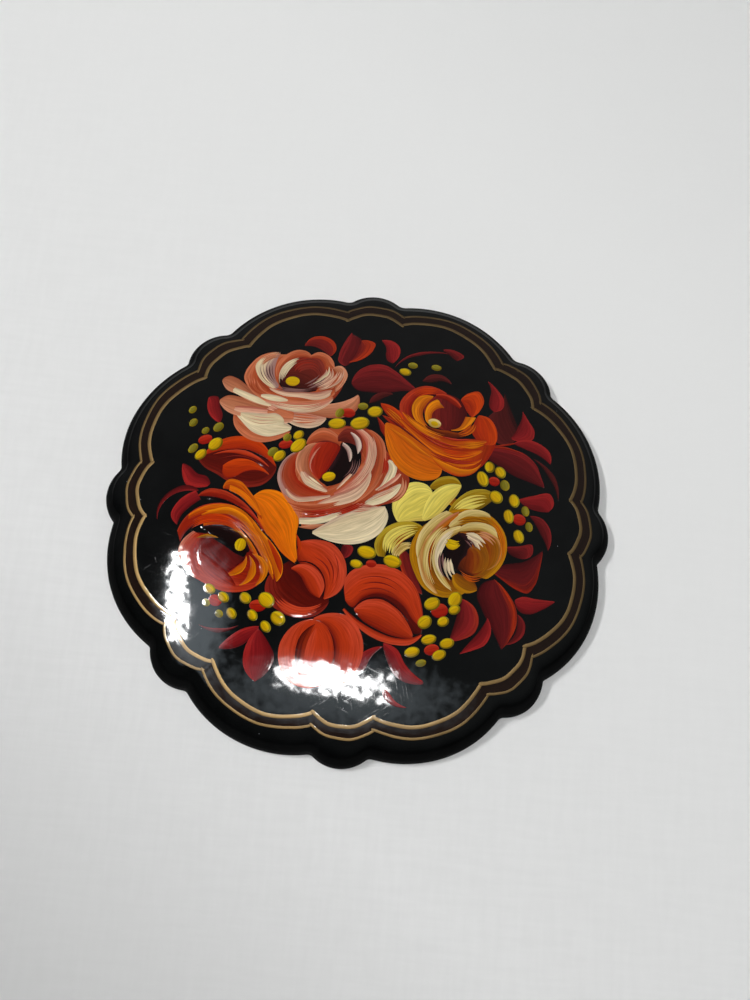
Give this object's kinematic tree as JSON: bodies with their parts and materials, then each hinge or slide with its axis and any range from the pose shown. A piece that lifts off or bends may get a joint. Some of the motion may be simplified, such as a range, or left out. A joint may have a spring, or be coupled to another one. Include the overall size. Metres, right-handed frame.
{
  "type": "lacquered brooch",
  "caption": "Domed lacquer brooch with a scalloped outline, a painted rose bouquet, and a hinged pin with a roll-over safety catch in its hollow back.",
  "frame": {"origin": "centre of the rim's back plane", "axes": "+Z towards the painted face, +Y up as the brooch is worn, +X to the right when the painted face is looked at"},
  "size_m": [0.0606, 0.0606, 0.0076],
  "materials": {
    "lacquer": "gloss",
    "resin": "satin",
    "nickel_plate": "satin",
    "rivet_metal": "satin",
    "pin_steel": "polished",
    "brass": "satin"
  },
  "bodies": {
    "brooch": {"papier_mache_body": "lacquer", "adhesive_bed": "resin", "pin_bar": "nickel_plate", "bar_rivets": "rivet_metal", "hinge_bracket": "nickel_plate", "hinge_rivet": "rivet_metal", "catch_housing": "nickel_plate"},
    "pin": {"pin_stem": "pin_steel"},
    "lock": {"catch_lock": "brass"}
  },
  "joints": [
    {"name": "pin_hinge", "type": "hinge", "parent": "brooch", "child": "pin", "pos_m": [-0.0122, 0.005, 0.0017], "axis": [0, 1, 0], "range_deg": [0, 85]},
    {"name": "lock_turn", "type": "hinge", "parent": "brooch", "child": "lock", "pos_m": [0.012, 0.005, 0.0017], "axis": [-1, 0, 0], "range_deg": [0, 120]}
  ]
}
